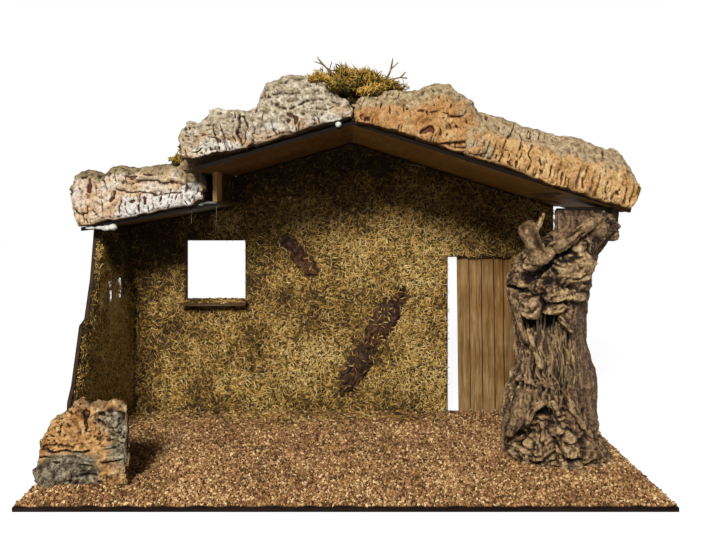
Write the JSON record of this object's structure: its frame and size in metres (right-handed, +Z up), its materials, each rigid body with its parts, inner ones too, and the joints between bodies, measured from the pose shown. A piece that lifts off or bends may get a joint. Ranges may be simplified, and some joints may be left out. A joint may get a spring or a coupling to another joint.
{
  "type": "nativity stable",
  "caption": "Open-fronted crib hut on a board: mossy back and left walls, cork bark on a stepped gable roof, a root post and a hinged plank door.",
  "frame": {"origin": "middle of the base board's underside", "axes": "+X along the front to the right, +Y from the front to the back, +Z up"},
  "size_m": [0.6003, 0.29, 0.4284],
  "materials": {
    "dark_board": "dark painted edge, matte",
    "cork_granules": "loose cork crumbs, matte",
    "wall_board": "stained board, matte",
    "dry_moss": "dry fibrous moss, matte",
    "sill_wood": "raw wood, matte",
    "dark_bark": "rough bark, matte",
    "roof_board": "bare plywood below, dark edges",
    "pale_wood": "raw stick, matte",
    "pale_cork": "whitened cork bark, rough",
    "grey_cork": "weathered cork bark, rough",
    "tan_cork": "cork bark, rough",
    "glue": "hot-melt glue",
    "green_moss": "dry moss tuft",
    "root_wood": "weathered root, rough",
    "brass": "small brass hinge",
    "door_wood": "stained planks, matte",
    "batten_wood": "raw wood, matte"
  },
  "bodies": {
    "stable": {"base_board": "dark_board", "floor_granules": "cork_granules", "back_wall": "wall_board", "back_moss": "dry_moss", "left_wall": "wall_board", "left_moss": "dry_moss", "side_window_bars": "wall_board", "window_sill": "sill_wood", "bark_strip_small": "dark_bark", "bark_strip_large": "dark_bark", "lower_roof_board": "roof_board", "left_roof_board": "roof_board", "right_roof_board": "roof_board", "step_post": "pale_wood", "step_moss": "dry_moss", "lower_bark": "pale_cork", "left_bark_low": "grey_cork", "left_bark_high": "grey_cork", "right_bark_high": "tan_cork", "right_bark_low": "tan_cork", "glue_dabs": "glue", "glue_fillets": "glue", "ridge_moss": "green_moss", "root_post": "root_wood", "corner_bark": "tan_cork", "hinge_wall_leaves": "brass", "hinge_pins": "brass", "hinge_wall_brads": "brass"},
    "door": {"door_plank_1": "door_wood", "door_plank_2": "door_wood", "door_plank_3": "door_wood", "door_plank_4": "door_wood", "door_plank_5": "door_wood", "door_batten_low": "batten_wood", "door_batten_high": "batten_wood", "hinge_door_leaves": "brass", "hinge_door_brads": "brass"}
  },
  "joints": [
    {"name": "door_hinge", "type": "hinge", "parent": "stable", "child": "door", "pos_m": [0.2232, 0.1409, 0.1], "axis": [0, 0, -1], "range_deg": [0, 105]}
  ]
}
